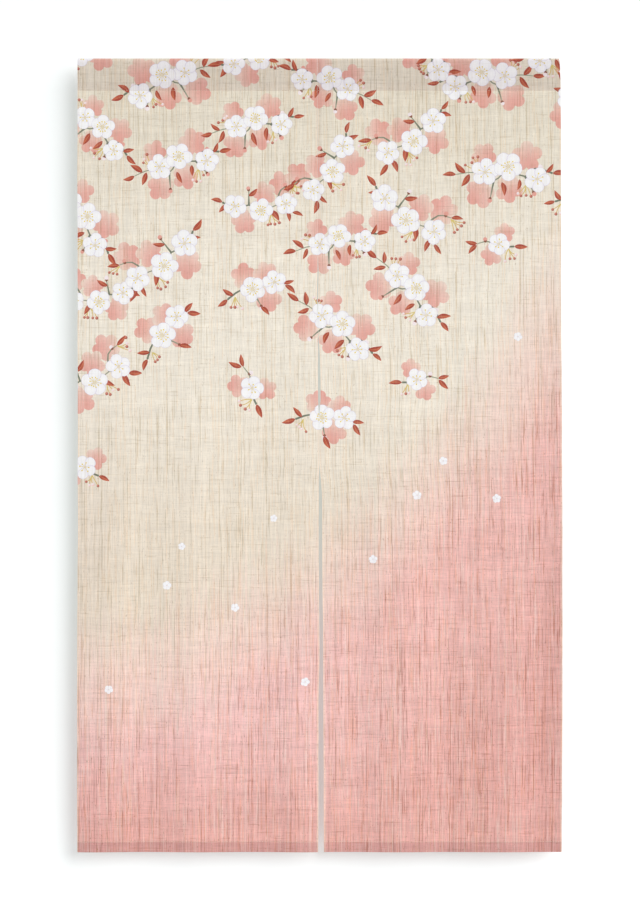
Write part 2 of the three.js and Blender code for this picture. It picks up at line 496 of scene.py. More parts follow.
# Branches in their own millimetres, x to the right and y down: twigs are lines, blossoms are
# (x, y, size, turn), and leaves, buds and berries are (x, y, turn) with turns in degrees
branches = [
    dict(twigs=[[(-78, 24), (-52, 8), (-32, 16), (-6, -2), (20, 8), (46, -14), (78, -20)],
                [(-32, 16), (-38, 44)], [(20, 8), (34, 34)]],
         ghosts=[(-44, -16, 52, 110), (48, 22, 50, 20), (0, 30, 46, 80), (24, -38, 44, 150)],
         open=[(-10, -8, 49, 0)], plain=[(30, -10, 46, 30), (-50, 26, 44, 12)],
         leaves=[(78, -20, -14), (62, -18, -62), (56, -14, 40), (-78, 24, 160), (-68, 20, 215),
                 (8, 14, 84), (-22, 18, 62)],
         buds=[(-38, 44, 95), (34, 34, 60), (-60, 12, 250)],
         berries=[(40, -18, 290), (-30, 30, 60)]),
    dict(twigs=[[(-62, -34), (-44, -12), (-16, -10), (4, 12), (34, 10), (58, 34)],
                [(-16, -10), (-6, -36)], [(34, 10), (52, -14), (74, -16)]],
         ghosts=[(-36, 16, 50, 70), (58, -26, 48, 200), (20, -20, 46, 130)],
         open=[(2, 8, 48, 20)], plain=[(-42, -18, 46, 40), (52, 14, 43, 5)],
         leaves=[(58, 34, 40), (50, 28, 100), (74, -16, -10), (-62, -34, 215), (-54, -26, 160),
                 (-10, -26, -20), (18, 14, 70)],
         buds=[(-6, -36, 280), (64, -16, 270), (-30, -12, 95)],
         berries=[(18, 22, 100), (74, -14, 30)]),
    dict(twigs=[[(-46, 30), (-28, 8), (-6, 4), (12, -18), (42, -24)], [(-6, 4), (14, 24)]],
         ghosts=[(24, 8, 47, 60), (-30, -18, 45, 250), (6, -32, 43, 20)],
         open=[(-8, 0, 46, 10)], plain=[(26, -22, 43, 25)],
         leaves=[(42, -24, -30), (46, -22, 24), (-46, 30, 130), (-38, 20, 195), (14, 26, 30)],
         buds=[(14, 24, 60), (-20, 6, 260)],
         berries=[(-34, 22, 70)]),
    dict(twigs=[[(-30, 18), (-8, 6), (10, -14), (30, -20)]],
         ghosts=[(16, 12, 42, 40), (-26, -14, 40, 100)],
         open=[], plain=[(-6, 0, 43, 0)],
         leaves=[(30, -20, -40), (32, -18, 18), (-30, 18, 150)],
         buds=[(14, -16, 250)],
         berries=[(-18, 16, 80)]),
]

layout = {
    "columnStep": 148.0, "firstColumn": 0.15,   # steps in from the left edge
    "rowStep": 150.0, "firstRow": -20.0,
    "reach": 640.0,        # how far down the branches go at the middle seam,
    "reachFall": 0.3,      # less towards the right,
    "reachWave": 130.0,    # with a wave in it
    "waveLength": 100.0, "waveStart": 0.8,
    "fullFrom": 1.4, "middleFrom": 0.6,   # rows left below a full and a middle-sized branch
    "sizeSpread": 0.09,    # share of a branch's size
    "shiftSpread": 20.0,
    "turnSpread": 42.0,    # degrees
    "leafLength": (20.0, 27.0),
    "berryStem": (15.0, 25.0),
    "berrySpread": 21.0,   # degrees from stem to stem
    "looseBlossoms": 11,
    "looseSize": (13.0, 17.0),
    "looseBelow": (90.0, 430.0),   # from the lowest branches
    "looseSpan": 0.9,              # share of the cloth's width that they are spread over
    "seamMargin": 14.0,    # loose blossoms keep this far from the middle seam
    "seed": 21,
}


def branchReach(across):
    # how far down the cloth the branches go before the ground is left bare
    wave = math.sin(across / layout["waveLength"] + layout["waveStart"])
    return layout["reach"] - layout["reachFall"] * across + layout["reachWave"] * wave


def placeBranch(kind, at, turn, size, flip):
    # a branch's parts at their places on the cloth
    def place(x, y):
        return turned([(x, y)], at, turn, size, flip)[0]

    def facing(degrees):
        angle = math.radians(degrees)
        return turn + (angle if flip > 0 else math.pi - angle)

    def placed(name):
        return [(place(part[0], part[1]), *[q * size for q in part[2:-1]], facing(part[-1]))
                for part in branches[kind][name]]

    names = ("ghosts", "open", "plain", "leaves", "buds", "berries")
    return dict(twigs=[[place(*p) for p in line] for line in branches[kind]["twigs"]],
                **{name: placed(name) for name in names})


def scatterBranches(rng):
    # half-drop scatter, with smaller branches where it thins out
    placed = []
    columns = int(2 * cloth["loomWidth"] / layout["columnStep"]) + 1
    for column in range(columns + 1):
        x = -cloth["loomWidth"] + (column + layout["firstColumn"]) * layout["columnStep"]
        limit = branchReach(x)
        y = layout["firstRow"] + 0.5 * (column % 2) * layout["rowStep"]
        while y < limit:
            spread = layout["shiftSpread"]
            at = (x + rng.uniform(-spread, spread), y + rng.uniform(-spread, spread))
            rest = (limit - y) / layout["rowStep"]
            # a full branch, a middle-sized one or a sprig
            if rest > layout["fullFrom"]:
                kind = rng.choice([0, 1])
            else:
                kind = 2 if rest > layout["middleFrom"] else 3
            turn = math.radians(rng.uniform(-1, 1) * layout["turnSpread"])
            size = 1 + rng.uniform(-1, 1) * layout["sizeSpread"]
            placed.append(placeBranch(kind, at, turn, size, rng.choice([1, -1])))
            y += layout["rowStep"]
    return placed


def paintCloth():
    # ghosts lie lowest, then berries, twigs, buds and leaves, with the blossoms on top
    rng = random.Random(layout["seed"])
    placed = scatterBranches(rng)
    for branch in placed:
        for at, size, turn in branch["ghosts"]:
            ghostBlossom(at, size, turn, rng)
    for branch in placed:
        for at, turn in branch["berries"]:
            berrySpray(at, turn, rng, rng.choice([3, 4]))
        for line in branch["twigs"]:
            stroke(line, *brush["twig"], "twig", "twigPale")
        for at, turn in branch["buds"]:
            bud(at, turn, rng)
        for at, turn in branch["leaves"]:
            leaf(at, rng.uniform(*layout["leafLength"]), turn, rng)
    for branch in placed:
        for at, size, turn in branch["plain"]:
            blossom(at, size, turn, rng, flower["plainStamens"])
        for at, size, turn in branch["open"]:
            blossom(at, size, turn, rng, flower["openStamens"])
    span = layout["looseSpan"]
    for i in range(layout["looseBlossoms"]):
        share = (i + rng.uniform(0.1, 0.9)) / layout["looseBlossoms"]
        across = cloth["loomWidth"] * mix(-span, span, share)
        across += math.copysign(layout["seamMargin"], across)
        down = branchReach(across) + rng.uniform(*layout["looseBelow"])
        blossom((across, down), rng.uniform(*layout["looseSize"]), rng.uniform(0, 6), rng, 0)


paintCloth()
print("painted shapes", len(shapes))


def rowStops():
    # rows of points down the cloth, close together where it turns
    rows = [clothStart]
    below, above = grid["closeRows"]
    for down in pathDown[1:-1]:
        between = heading["depth"] + below < down < hemTurn - above
        if down - rows[-1] >= (grid["cell"][1] if between else grid["closest"]):
            rows.append(down)
    return rows + [clothEnd]


def cutCloth(half):
    # the flat cloth as triangles that follow every painted outline, and the shape that lies
    # on top at each of them
    low = -cloth["loomWidth"] if half == "left" else 0.0
    high = low + cloth["loomWidth"]
    rng = random.Random(grid["seed"])
    rows = rowStops()
    columns = round(cloth["loomWidth"] / grid["cell"][0])
    below, above = grid["straightRows"]
    points, edges = [], []
    for r, down in enumerate(rows):
        loose = heading["depth"] + below < down < hemTurn - above
        first = len(points)
        for c in range(columns + 1):
            shift = grid["cell"][1] * grid["jitter"] if loose and 0 < c < columns else 0.0
            points.append(Vector((mix(low, high, c / columns) + rng.uniform(-shift, shift),
                                  down + rng.uniform(-shift, shift))))
        if not loose:
            edges += [(first + c, first + c + 1) for c in range(columns)]
        if r > 0:
            edges += [(first, first - columns - 1), (first + columns, first - 1)]
    near = []
    for index, shape in enumerate(shapes):
        across = [p[0] for p in shape["points"]]
        if max(across) > low and min(across) < high:
            near.append(index)
            first, count = len(points), len(shape["points"])
            points += [Vector(p) for p in shape["points"]]
            edges += [(first + i, first + (i + 1) % count) for i in range(count)]
    verts, _, tris, _, _, _ = delaunay_2d_cdt(points, edges, [], 0, grid["merge"])
    flat = np.array([(v.x, v.y) for v in verts])
    tris = np.array(tris)
    middle = flat[tris].mean(axis=1)
    onCloth = (abs(middle[:, 0] - (low + high) / 2) < cloth["loomWidth"] / 2) \
        & (middle[:, 1] > clothStart) & (middle[:, 1] < clothEnd)
    tris, middle = tris[onCloth], middle[onCloth]
    used, tris = np.unique(tris, return_inverse=True)
    tris = tris.reshape(-1, 3)
    topShape = np.full(len(tris), -1)
    for index in near:
        outline = np.array(shapes[index]["points"])
        lowest, highest = outline.min(axis=0), outline.max(axis=0)
        around = np.flatnonzero(((middle > lowest) & (middle < highest)).all(axis=1))
        inside = np.zeros(len(around), bool)
        px, py = middle[around].T
        for (ax, ay), (bx, by) in zip(outline, np.roll(outline, -1, axis=0)):
            if ay != by:
                crosses = (ay > py) != (by > py)
                inside ^= crosses & (px < (bx - ax) * (py - ay) / (by - ay) + ax)
        topShape[around[inside]] = index
    return [Vector(flat[i]) for i in used], tris.tolist(), topShape.tolist(), (low, high)


unpainted = (1.0, 1.0, 1.0, 0.0)
backPigment = 0.5  # how much of the pigment shows on the back


def shapeColour(index, place):
    shape = shapes[index]
    t = min(1.0, math.dist(place, shape["anchor"]) / shape["reach"])
    t = t * t
    colour = [mix(a, b, t) for a, b in zip(shape["inner"], shape["outer"])]
    return colour + [mix(shape["cover"][0], shape["cover"][1], t)]


def addPiece(name, places, faces, material):
    data = bpy.data.meshes.new(name)
    data.from_pydata(places, [], faces)
    data.shade_smooth()
    data.materials.append(material)
    piece = bpy.data.objects.new(name, data)
    bpy.context.collection.objects.link(piece)
    return piece


def setAttribute(piece, name, kind, domain, values):
    # flatPlace is a point's place on the flat cloth, and paint the pigment over it
    field = "vector" if kind == "FLOAT_VECTOR" else "color"
    attribute = piece.data.attributes.new(name, kind, domain)
    attribute.data.foreach_set(field, [c for value in values for c in value])


# Where a cloth lies in its bake map: the face on the left half, the back on the right, and the
# cut edges in a narrow strip around each
bake = {"margin": 0.006, "width": 0.484, "height": 0.988, "backFrom": 0.508, "edge": 0.003}


def makeCloth(name, half, material):
    verts, tris, topShape, (low, high) = cutCloth(half)
    offset = cloth["thickness"] / 2
    count = len(verts)
    places, flat = [], []
    for side, off in ((0, offset), (1, -offset)):
        for v in verts:
            places.append(hung(half, v.x, v.y, off))
            flat.append((v.x, v.y, side))
    faces, colours, uvs = [], [], []
    span = clothEnd - clothStart

    def uvAt(vert, side, outU=0.0, outV=0.0):
        u = bake["margin"] + bake["width"] * (vert.x - low) / (high - low) + outU
        v = bake["margin"] + bake["height"] * (vert.y - clothStart) / span + outV
        return (u if side == 0 else bake["backFrom"] + u), v

    border = {}
    for tri, top in zip(tris, topShape):
        a, b, c = (verts[i] for i in tri)
        if (b.x - a.x) * (c.y - a.y) - (c.x - a.x) * (b.y - a.y) < 0:
            tri = tri[::-1]
        for side in (0, 1):
            order = tri[::-1] if side == 0 else tri
            faces.append([i + side * count for i in order])
            for i in order:
                shade = unpainted if top < 0 else shapeColour(top, (verts[i].x, verts[i].y))
                colours.append((*shade[:3], shade[3] * (1.0 if side == 0 else backPigment)))
                uvs.append(uvAt(verts[i], side))
        for a, b in zip(tri, tri[1:] + tri[:1]):
            if (b, a) in border:
                del border[(b, a)]
            else:
                border[(a, b)] = True
    for a, b in border:
        # the cut edge between the face and the back
        faces.append([a, b, b + count, a + count])
        outU, outV = 0.0, 0.0
        if max(verts[a].x, verts[b].x) < low + 1:
            outU = -bake["edge"]
        elif min(verts[a].x, verts[b].x) > high - 1:
            outU = bake["edge"]
        else:
            outV = -bake["edge"] if verts[a].y < 0 else bake["edge"]
        uvs += [uvAt(verts[a], 0), uvAt(verts[b], 0),
                uvAt(verts[b], 0, outU, outV), uvAt(verts[a], 0, outU, outV)]
        colours += [unpainted] * 4
    piece = addPiece(name, places, faces, material)
    setAttribute(piece, "flatPlace", "FLOAT_VECTOR", "POINT", flat)
    setAttribute(piece, "paint", "FLOAT_COLOR", "CORNER", colours)
    piece.data.uv_layers.new(name="OFBake").data.foreach_set("uv", [c for f in uvs for c in f])
    piece.data.validate()
    piece.data.set_sharp_from_angle(angle=math.radians(50))
    print(name, len(faces), "faces")
    return piece


# Nodes by a short name: kind, settings, the inputs that a call fills in turn, and the output
nodeKinds = {
    "attribute": ("ShaderNodeAttribute", {}, (), "Vector"),
    "split": ("ShaderNodeSeparateXYZ", {}, (0,), 0),
    "vector": ("ShaderNodeCombineXYZ", {}, (0, 1, 2), 0),
    "colour": ("ShaderNodeCombineColor", {}, (0, 1, 2), 0),
    "stretch": ("ShaderNodeVectorMath", {"operation": "MULTIPLY"}, (0, 1), 0),
    "move": ("ShaderNodeVectorMath", {"operation": "ADD"}, (0, 1), 0),
    "ramp": ("ShaderNodeMapRange", {"interpolation_type": "SMOOTHSTEP"}, (0, 1, 2, 3, 4), 0),
    "mix": ("ShaderNodeMix", {"data_type": "RGBA", "blend_type": "MIX"}, (0, 6, 7), 2),
    "stain": ("ShaderNodeMix", {"data_type": "RGBA", "blend_type": "MULTIPLY"}, (0, 6, 7), 2),
    "noise": ("ShaderNodeTexNoise", {}, ("Vector", "Scale", "Detail", "Roughness"), "Fac"),
    "random": ("ShaderNodeTexWhiteNoise", {"noise_dimensions": "1D"}, ("W",), "Value"),
    "bump": ("ShaderNodeBump", {}, ("Height", "Strength", "Distance"), 0),
    "shaders": ("ShaderNodeMixShader", {}, (0, 1, 2), 0),
}
for step in ("add", "subtract", "multiply", "divide", "multiply_add", "power", "floor", "absolute",
             "minimum", "maximum", "greater_than"):
    nodeKinds[step] = ("ShaderNodeMath", {"operation": step.upper()}, (0, 1, 2), 0)


def feed(tree, node, inputs):
    # sets each input to a value, or links it to the output that feeds it
    for key, value in inputs.items():
        if isinstance(value, bpy.types.NodeSocket):
            tree.links.new(value, node.inputs[key])
        else:
            node.inputs[key].default_value = value


def addNode(tree, name, *inputs, **settings):
    # adds a node, by its short name or else its kind, and gives the output that is used
    kind, preset, keys, output = nodeKinds.get(name, (name, {}, (), 0))
    node = tree.nodes.new(kind)
    for key, value in (preset | settings).items():
        setattr(node, key, value)
    feed(tree, node, dict(zip(keys, inputs)))
    return node.outputs[output]


def newMaterial(name):
    material = bpy.data.materials.new(name)
    material.use_nodes = True
    return material, material.node_tree, material.node_tree.nodes["Principled BSDF"]


dye = {
    "top": "#ece3d1",        # undyed ground, a little greyer near the heading
    "ground": "#f6eedf",
    "groundLow": "#ecdfcd",
    "blush": "#f4d7cb",
    "pinkLeft": "#f3c5c1",   # the left width took a little less dye
    "pink": "#f2bfb8",
    "pinkLow": "#e5ada5",
    "selvedge": "#f6dfc8",
    "yarnDark": "#c0b08c",   # bark left in the yarn, over the dye
    "yarnDyed": "#c3a08c",   # the same yarn where the pink has gone into it
    "yarnPale": "#fdf6ea",
    "yarnWarm": "#f6dcb8",
    "knot": "#a58a66",
}

# Where the dye lies, in millimetres. The line between cream and pink is given down the cloth at
# the middle seam, and the stretches in which a colour comes in are counted past that line
fade = {
    "lineDown": 975.0, "lineFall": -0.6875, "lineCurve": -0.00058,
    "cloudSize": 500 / 3, "cloud": 110.0,        # how unevenly the dye has risen
    "creepSize": (3.0, 230.0), "creep": 190.0,   # how much further it creeps up some warp yarns
    "creepStart": 17.3,
    "blush": (-170.0, 20.0), "blushRight": -330.0, "blushFrom": 150.0,
    "pink": (-50.0, 155.0), "pinkRight": (-100.0, 200.0),
    "deepest": (150.0, 640.0), "deepestDown": (1170.0, 1450.0),
    "yarn": (-170.0, 150.0),
    "ground": (60.0, 420.0), "groundLow": (500.0, 1000.0),   # down the cloth
    "selvedge": (2.2, 3.6, 0.45, 0.0),   # from the edge, and how much of its colour shows
}

# Painted shade: doubled cloth lets less light through, so its colour is painted darker, and the
# low outer margins are painted darker too: what each keeps of its brightness, and over how many
# millimetres it changes
shadeTone = {
    "heading": 0.87, "turnUnder": 0.955, "hem": 0.81, "seam": 0.945, "margin": 0.935,
    "headingBlur": 0.6, "turnBlur": 0.5, "hemBlur": 1.5, "seamBlur": (0.8, 4.0),
    "marginAcross": (320.0, 430.0), "marginDown": (500.0, 950.0),
    "redder": (0.8, 1.0, 0.9),   # powers for red, green and blue, so the painted shade is warmer
}

# Tones of the threads, darkest and palest, drawn as noise stretched to a size across and down
# the cloth in millimetres; start is where in the noise each begins. Single threads are 0.6 mm
# wide, which only a close look shows, so the warp and weft are drawn again about 2 mm wide, the
# width at which they still read
threads = {
    "warp": dict(size=(1.7, 60.0), start=0.3, tones=(0.91, 1.08)),
    "weft": dict(size=(30.0, 2.0), start=5.3, tones=(0.945, 1.05)),
    "long": dict(size=(3.4, 420.0), start=9.3, tones=(0.96, 1.035)),     # from yarn to yarn
    "band": dict(size=(30.0, 1500.0), start=25.3, tones=(0.97, 1.03)),
    "beat": dict(size=(260.0, 13.0), start=29.3, tones=(0.955, 1.035)),  # uneven beating
    "warpThread": dict(size=(0.6, 14.0), start=83.3, tones=(0.955, 1.045), detail=0.0),
    "weftThread": dict(size=(14.0, 0.6), start=89.3, tones=(0.965, 1.035), detail=0.0),
}

# Single yarns of another colour: width and length in millimetres, how rare they are, and how
# much of their own colour they give to the cloth
yarnKinds = {
    "pale": dict(size=(1.3, 90.0), start=3.7, rare=0.66, share=0.26),
    "warm": dict(size=(1.95, 90.0), start=63.1, rare=0.64, share=0.4),
    "dark": dict(size=(1.3, 90.0), start=41.3, rare=0.69, share=0.66),
    "darkWeft": dict(size=(1.3, 46.0), start=77.9, rare=0.735, share=0.4),
}

fleck = {"size": (1.5, 5.0), "start": 55.3, "rare": (0.66, 0.76), "share": 0.55}

weave = {
    "contrast": (0.64, 0.93),       # of the threads in the cream and in the pink
    "nextWidth": (371.0, 5210.0),   # where the right width lies on the loom, past the left one
    "yarnApart": 17.31,             # how far apart in the noise neighbouring yarns lie
    "yarnOwn": 0.22,                # how much a yarn's own tone counts
    "yarnSoft": 0.13,               # how softly its colour comes in
    "noiseRange": (0.3, 0.7),       # where noise has nearly all of its values
    "relief": {"warp": 0.6, "weft": 0.4, "warpThread": 0.25, "weftThread": 0.25},
    "bump": 0.35, "bumpDepth": 0.0006,   # metres
    "roughness": (0.88, 0.97),
    "ior": 1.5,                     # of cellulose, dulled by the loose fibres on the yarn,
    "specular": 0.25,               # which give it a faint sheen
    "sheen": 0.08, "sheenRoughness": 0.6,
    "cover": 0.97,                  # of the thickest pigment
    "filled": 0.75,                 # how far it fills the weave
}


def streaks(tree, place, width, length, start, detail=2.0):
    # noise in streaks of a width across the cloth and a length down it
    stretched = addNode(tree, "stretch", place, (1 / width, 1 / length, 0.0))
    moved = addNode(tree, "move", stretched, (0.0, 0.0, start))
    return addNode(tree, "noise", moved, 1.0, detail, 0.55)


def yarns(tree, across, along, kind):
    # single yarns that come and go: each has its own tone and breaks up along its length
    width, length = kind["size"]
    number = addNode(tree, "floor", addNode(tree, "divide", across, width))
    own = addNode(tree, "random", addNode(tree, "add", number, kind["start"]))
    spot = addNode(tree, "vector", addNode(tree, "multiply", number, weave["yarnApart"]),
                   addNode(tree, "divide", along, length), kind["start"])
    run = addNode(tree, "noise", spot, 1.0, 3.0, 0.6)
    level = addNode(tree, "multiply_add", own, weave["yarnOwn"], run)
    return addNode(tree, "ramp", level, kind["rare"], kind["rare"] + weave["yarnSoft"])


def dyedGround(tree, across, down, past):
    # the bare cloth's colour, layer over layer; past is the distance past the cream and pink line
    tint = {name: hexColour(colour) for name, colour in dye.items()}
    ramps = {name: addNode(tree, "ramp", past, *fade[name]) for name in ("pink", "deepest")}
    ramps |= {name: addNode(tree, "ramp", down, *fade[name]) for name in ("ground", "groundLow")}
    # the blush starts higher towards the right edge
    onset = addNode(tree, "ramp", across, fade["blushFrom"], cloth["loomWidth"],
                    fade["blush"][0], fade["blushRight"])
    ramps["blush"] = addNode(tree, "ramp", past, onset, fade["blush"][1])
    low = addNode(tree, "ramp", down, *fade["deepestDown"])
    ramps["pinkLow"] = addNode(tree, "maximum", ramps["deepest"], low)
    # closer warp at the selvedges takes less dye
    out = addNode(tree, "absolute", across)
    fromEdge = addNode(tree, "minimum", out, addNode(tree, "subtract", cloth["loomWidth"], out))
    ramps["selvedge"] = addNode(tree, "ramp", fromEdge, *fade["selvedge"])
    right = addNode(tree, "ramp", across, *fade["pinkRight"])
    tint["pink"] = addNode(tree, "mix", right, tint["pinkLeft"], tint["pink"])
    ground = tint["top"]
    for name in ("ground", "groundLow", "blush", "pink", "pinkLow", "selvedge"):
        ground = addNode(tree, "mix", ramps[name], ground, tint[name])
    return ground


def paintedShade(tree, across, down, right):
    # painted shade over the heading, the edge turned in at its foot, the hem and the edges turned
    # behind the middle seam, where doubled cloth lets less light through, and over the low outer margins
    foot, blur = heading["depth"], shadeTone["headingBlur"]
    turnMiddle, turnHalf = foot - heading["turnUnder"] / 2, heading["turnUnder"] / 2
    fromTurn = addNode(tree, "absolute", addNode(tree, "subtract", down, turnMiddle))
    hemTop, hemBlur, turnBlur = hemTurn - hem["depth"], shadeTone["hemBlur"], shadeTone["turnBlur"]
    wideBlur, endBlur = shadeTone["seamBlur"]
    seamBack = addNode(tree, "ramp", across, seam["allowance"], seam["allowance"] + wideBlur, 1.0, 0.0)
    seamDown = addNode(tree, "ramp", down, seam["end"] - endBlur, seam["end"], 1.0, 0.0)
    seamBack = addNode(tree, "multiply", addNode(tree, "multiply", seamBack, seamDown), right)
    margin = addNode(tree, "ramp", addNode(tree, "absolute", across), *shadeTone["marginAcross"])
    margin = addNode(tree, "multiply", margin, addNode(tree, "ramp", down, *shadeTone["marginDown"]))
    # deep gathers the painted shade, part by part
    deep = 1.0
    for part in (
            addNode(tree, "ramp", down, foot - blur, foot + blur, shadeTone["heading"], 1.0),
            addNode(tree, "ramp", fromTurn, turnHalf - turnBlur, turnHalf + turnBlur,
                    shadeTone["turnUnder"], 1.0),
            addNode(tree, "ramp", down, hemTop - hemBlur, hemTop + hemBlur, 1.0, shadeTone["hem"]),
            addNode(tree, "multiply_add", seamBack, shadeTone["seam"] - 1, 1.0),
            addNode(tree, "multiply_add", margin, shadeTone["margin"] - 1, 1.0)):
        deep = addNode(tree, "multiply", deep, part)
    return addNode(tree, "colour", *[addNode(tree, "power", deep, p) for p in shadeTone["redder"]])


def slubbyHemp():
    # hemp plain weave, hand-spun look: thick and thin yarn, specks of bark left in it, cream
    # ground dipped in pink dye from the hem, and opaque pigment brushed on the face
    material, tree, shader = newMaterial("dyedSlubbyHemp")
    flat = addNode(tree, "attribute", attribute_name="flatPlace")
    across, down = addNode(tree, "split", flat).node.outputs[:2]
    # the two widths are different stretches of the same cloth, so the threads don't line up
    right = addNode(tree, "greater_than", across, 0.0)
    shift = [addNode(tree, "multiply", right, step) for step in weave["nextWidth"]]
    place = addNode(tree, "move", flat, addNode(tree, "vector", *shift, 0.0))
    warpAt, weftAt = addNode(tree, "split", place).node.outputs[:2]

    # dye: cream above a line that falls to the left, pink below it, darker again at the hem
    squared = addNode(tree, "multiply", across, across)
    line = addNode(tree, "multiply_add", squared, fade["lineCurve"], fade["lineDown"])
    line = addNode(tree, "multiply_add", across, fade["lineFall"], line)
    past = addNode(tree, "subtract", down, line)
    cloud = addNode(tree, "noise", place, 1 / fade["cloudSize"], 3.0)
    creep = streaks(tree, place, *fade["creepSize"], fade["creepStart"], 3.0)
    for pattern, height in ((cloud, fade["cloud"]), (creep, fade["creep"])):
        rise = addNode(tree, "multiply_add", pattern, height, -height / 2)
        past = addNode(tree, "add", past, rise)
    ground = dyedGround(tree, across, down, past)

    # pigment over the dye; it fills the weave, and threads stand out more where the dye is
    pigment = addNode(tree, "attribute", attribute_name="paint").node.outputs
    cover = addNode(tree, "multiply", pigment["Alpha"], weave["cover"])
    colour = addNode(tree, "mix", cover, ground, pigment["Color"])
    bare = addNode(tree, "multiply_add", addNode(tree, "power", cover, 4.0), -weave["filled"], 1.0)
    contrast = addNode(tree, "ramp", past, *fade["yarn"], *weave["contrast"])
    bare = addNode(tree, "multiply", bare, contrast)

    drawn, tone = {}, 1.0
    for name, kind in threads.items():
        detail = kind.get("detail", 2.0)
        drawn[name] = streaks(tree, place, *kind["size"], kind["start"], detail)
        shade = addNode(tree, "ramp", drawn[name], *weave["noiseRange"], *kind["tones"])
        tone = addNode(tree, "multiply", tone, shade)
    tone = addNode(tree, "multiply_add", addNode(tree, "subtract", tone, 1.0), bare, 1.0)
    colour = addNode(tree, "stain", 1.0, colour, addNode(tree, "colour", tone, tone, tone))

    # natural colour of single yarns: olive to brown streaks, pale ones between, and bark flecks
    dyed = addNode(tree, "ramp", past, *fade["yarn"])
    bark = addNode(tree, "mix", dyed, hexColour(dye["yarnDark"]), hexColour(dye["yarnDyed"]))
    flecks = streaks(tree, place, *fleck["size"], fleck["start"], 1.0)
    flecks = addNode(tree, "ramp", flecks, *fleck["rare"])
    found = {name: yarns(tree, warpAt, weftAt, yarnKinds[name]) for name in ("pale", "warm", "dark")}
    darkWeft = yarns(tree, weftAt, warpAt, yarnKinds["darkWeft"])
    for mode, pattern, share, tint in (
            ("mix", found["pale"], yarnKinds["pale"]["share"], hexColour(dye["yarnPale"])),
            ("stain", found["warm"], yarnKinds["warm"]["share"], hexColour(dye["yarnWarm"])),
            ("stain", found["dark"], yarnKinds["dark"]["share"], bark),
            ("stain", darkWeft, yarnKinds["darkWeft"]["share"], bark),
            ("stain", flecks, fleck["share"], hexColour(dye["knot"]))):
        amount = addNode(tree, "multiply", addNode(tree, "multiply", pattern, share), bare)
        colour = addNode(tree, mode, amount, colour, tint)
    # painted shade of the doubled cloth and the low outer margins, multiplied over the colour
    colour = addNode(tree, "stain", 1.0, colour, paintedShade(tree, across, down, right))

    height = 0.0
    for name, share in weave["relief"].items():
        height = addNode(tree, "multiply_add", drawn[name], share, height)
    rough = addNode(tree, "ramp", drawn["warp"], *weave["noiseRange"], *weave["roughness"])
    bump = addNode(tree, "bump", height, weave["bump"], weave["bumpDepth"])
    feed(tree, shader, {"Base Color": colour, "Roughness": rough, "Normal": bump,
                        "IOR": weave["ior"], "Specular IOR Level": weave["specular"],
                        "Sheen Weight": weave["sheen"], "Sheen Roughness": weave["sheenRoughness"]})
    return material


def sewingThread():
    # three-ply cotton sewing thread, a shade paler than the cloth, with painted shade between the turns of
    # its plies
    material, tree, shader = newMaterial("cottonThread")
    place = addNode(tree, "ShaderNodeTexCoord").node.outputs["Object"]
    # ply marks the grooves between the plies, where the painted shade lies
    ply = addNode(tree, "ramp", addNode(tree, "noise", place, 2600.0, 1.0), 0.55, 0.3)
    tone = addNode(tree, "ramp", addNode(tree, "noise", place, 60.0), 0.35, 0.65)
    colour = addNode(tree, "mix", tone, hexColour(stitch["deep"]), hexColour(stitch["pale"]))
    colour = addNode(tree, "stain", ply, colour, hexColour(stitch["shade"]))
    feed(tree, shader, {"Base Color": colour, "Roughness": 0.8, "IOR": 1.53})
    return material


def crossings(z):
    # where the cloth passes a height, in order down its path
    return [pathDown[i] for i, (a, b) in enumerate(zip(pathPoints, pathPoints[1:]))
            if (a[1] - z) * (b[1] - z) <= 0 and a[1] != b[1]]


def stitchRow(name, half, downs, material):
    # rows of running stitches across the cloth, each a short bowed thread whose ends dive in
    rng = random.Random(name)
    low = -cloth["loomWidth"] if half == "left" else 0.0
    pitch = stitch["length"] + stitch["gap"]
    surface = cloth["thickness"] / 2
    places, faces = [], []
    for down in downs:
        start = low + rng.uniform(*stitch["first"])
        while start + stitch["length"] < low + cloth["loomWidth"]:
            length = stitch["length"] * rng.uniform(*stitch["lengthVary"])
            shift = down + rng.uniform(-1, 1) * stitch["stray"]
            first = len(places)
            sides = stitch["sides"]
            for step in range(stitch["steps"] + 1):
                t = step / stitch["steps"]
                lift = surface + stitch["thread"] * (stitch["bow"] * math.sin(math.pi * t) - 1.0)
                for side in range(sides):
                    a = 2 * math.pi * side / sides
                    places.append(hung(half, start + length * t, shift + stitch["thread"] * math.cos(a),
                                       lift + stitch["thread"] * math.sin(a)))
            for step in range(stitch["steps"]):
                ring = first + step * sides
                for side in range(sides):
                    a, b = ring + side, ring + (side + 1) % sides
                    faces.append((a, a + sides, b + sides, b))
            faces.append(tuple(first + side for side in range(sides)))
            last = first + stitch["steps"] * sides
            faces.append(tuple(last + side for side in reversed(range(sides))))
            start += pitch * rng.uniform(*stitch["pitchVary"])
    return addPiece(name, places, faces, material)


